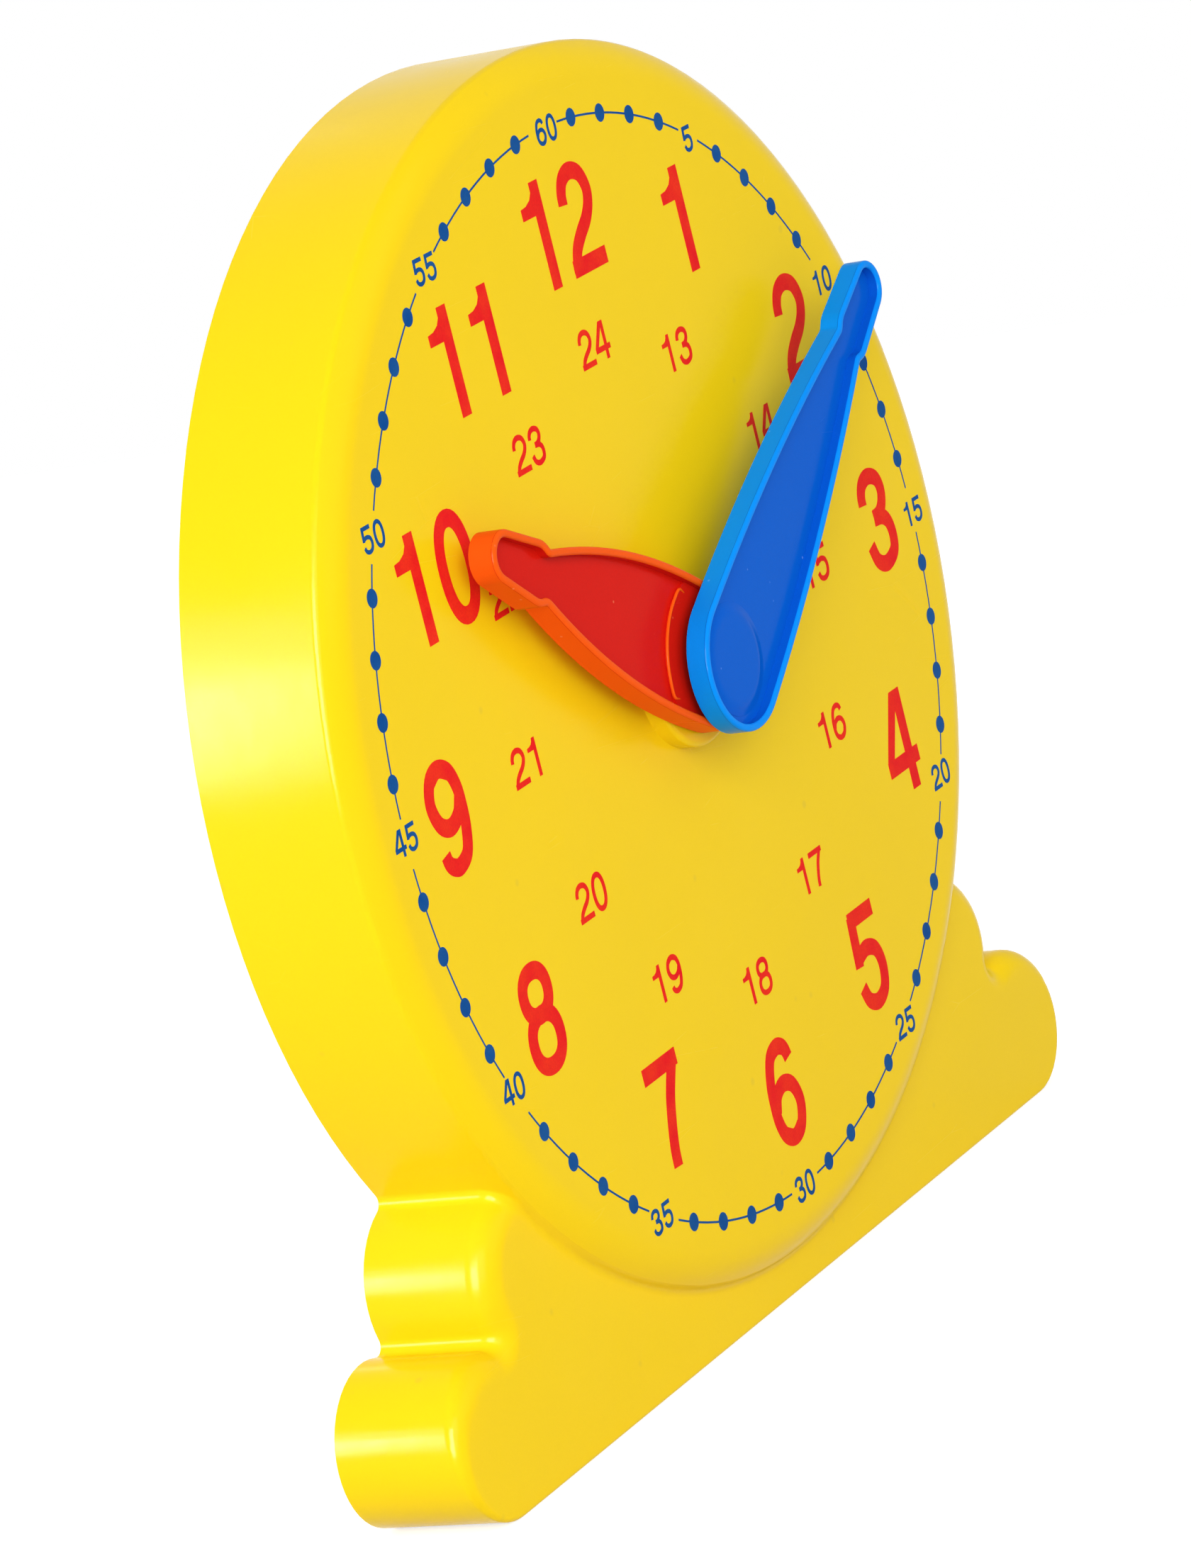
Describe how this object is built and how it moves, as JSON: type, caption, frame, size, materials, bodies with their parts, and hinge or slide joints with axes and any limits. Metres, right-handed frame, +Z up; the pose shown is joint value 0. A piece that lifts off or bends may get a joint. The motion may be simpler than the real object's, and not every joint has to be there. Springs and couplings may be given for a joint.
{
  "type": "geared teaching clock",
  "caption": "Free-standing teaching clock: round dial on a scalloped base, two tray-shaped hands geared together by a hidden train.",
  "frame": {"origin": "middle of the flat underside, halfway through the overall depth including the hands", "axes": "+X to the dial's three o'clock, +Y from the dial face to the back, +Z up towards twelve o'clock"},
  "size_m": [0.3416, 0.062, 0.3268],
  "materials": {
    "yellow_plastic": "smooth glossy moulding",
    "red_plastic": "smooth glossy moulding",
    "blue_plastic": "smooth glossy moulding",
    "gear_plastic": "natural engineering plastic",
    "bridge_plastic": "plain grey moulding",
    "steel": "bright drawn steel",
    "screw_steel": "bright zinc-plated steel",
    "bush_brass": "turned brass"
  },
  "bodies": {
    "case": {"housing": "yellow_plastic", "back_cover": "yellow_plastic", "cover_screws": "screw_steel", "gear_bridge": "bridge_plastic", "bridge_screws": "screw_steel", "dial_bush": "gear_plastic", "bridge_bush": "bush_brass", "idler_axle": "steel", "idler_washers": "steel", "pressure_washer": "steel", "face_washer": "gear_plastic"},
    "minute_train": {"minute_hand": "blue_plastic", "minute_shaft": "steel", "minute_pinion": "gear_plastic", "pinion_pin": "steel", "gear_washer": "steel", "friction_spring": "steel", "retaining_clip": "steel", "hand_washer": "gear_plastic"},
    "hour_train": {"hour_hand": "red_plastic", "hour_gear": "gear_plastic"},
    "idler_train": {"idler_gear": "gear_plastic"}
  },
  "joints": [
    {"name": "minute_turn", "type": "hinge", "parent": "case", "child": "minute_train", "pos_m": [0, -0.0111, 0.1674], "axis": [0, 1, 0], "continuous": true},
    {"name": "hour_turn", "type": "hinge", "parent": "case", "child": "hour_train", "pos_m": [0, -0.0111, 0.1674], "axis": [0, 1, 0], "continuous": true},
    {"name": "idler_turn", "type": "hinge", "parent": "case", "child": "idler_train", "pos_m": [0, -0.0111, 0.1074], "axis": [0, 1, 0], "continuous": true}
  ],
  "couplings": [
    {"joint": "idler_turn", "follows": "minute_turn", "ratio": -0.33333},
    {"joint": "hour_turn", "follows": "minute_turn", "ratio": 0.083333}
  ]
}
